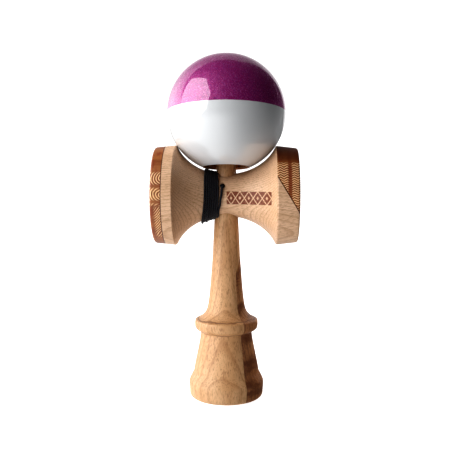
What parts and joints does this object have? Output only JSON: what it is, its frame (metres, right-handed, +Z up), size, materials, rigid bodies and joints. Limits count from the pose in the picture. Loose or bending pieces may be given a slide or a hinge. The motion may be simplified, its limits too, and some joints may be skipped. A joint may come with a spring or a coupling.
{
  "type": "kendama",
  "caption": "Ball and cup toy: a turned handle with a spike and a base cup, a crosspiece with a cup at each end, and a bored ball tied on with a cord.",
  "frame": {"origin": "middle of the base cup's rim, on the surface the handle stands on", "axes": "+Z up along the handle to the spike, +X along the crosspiece towards the small cup, string hole facing -Y"},
  "size_m": [0.0724, 0.0611, 0.1761],
  "materials": {
    "beech": "bare satin beech",
    "figured_wood": "bare satin figured hardwood",
    "dark_wood": "bare satin dark hardwood",
    "ball_lacquer": "high-gloss lacquer, magenta glitter above and white below",
    "bead": "satin",
    "string": "braided polyester"
  },
  "bodies": {
    "ken": {"ken_body": "beech", "ken_dark_half": "dark_wood"},
    "crosspiece": {"crosspiece_core": "beech", "big_cup_dark_ring": "figured_wood", "small_cup_dark_wedge": "figured_wood", "string_anchor_knot": "string", "string_lead": "string", "string_wrap": "string"},
    "string_end": {"bead": "bead", "string_end_knot": "string", "string_tail": "string"},
    "ball": {"ball": "ball_lacquer"}
  },
  "joints": [
    {"name": "crosspiece_pull", "type": "slide", "parent": "ken", "child": "crosspiece", "axis": [0, 0, 1], "range_m": [0, 0.07]},
    {"name": "ball_lift", "type": "slide", "parent": "crosspiece", "child": "string_end", "axis": [0, 0, 1], "range_m": [0, 0.05]},
    {"name": "ball_spin", "type": "hinge", "parent": "string_end", "child": "ball", "pos_m": [0, 0, 0.14525], "axis": [0, 0.1184, 0.993], "continuous": true}
  ]
}
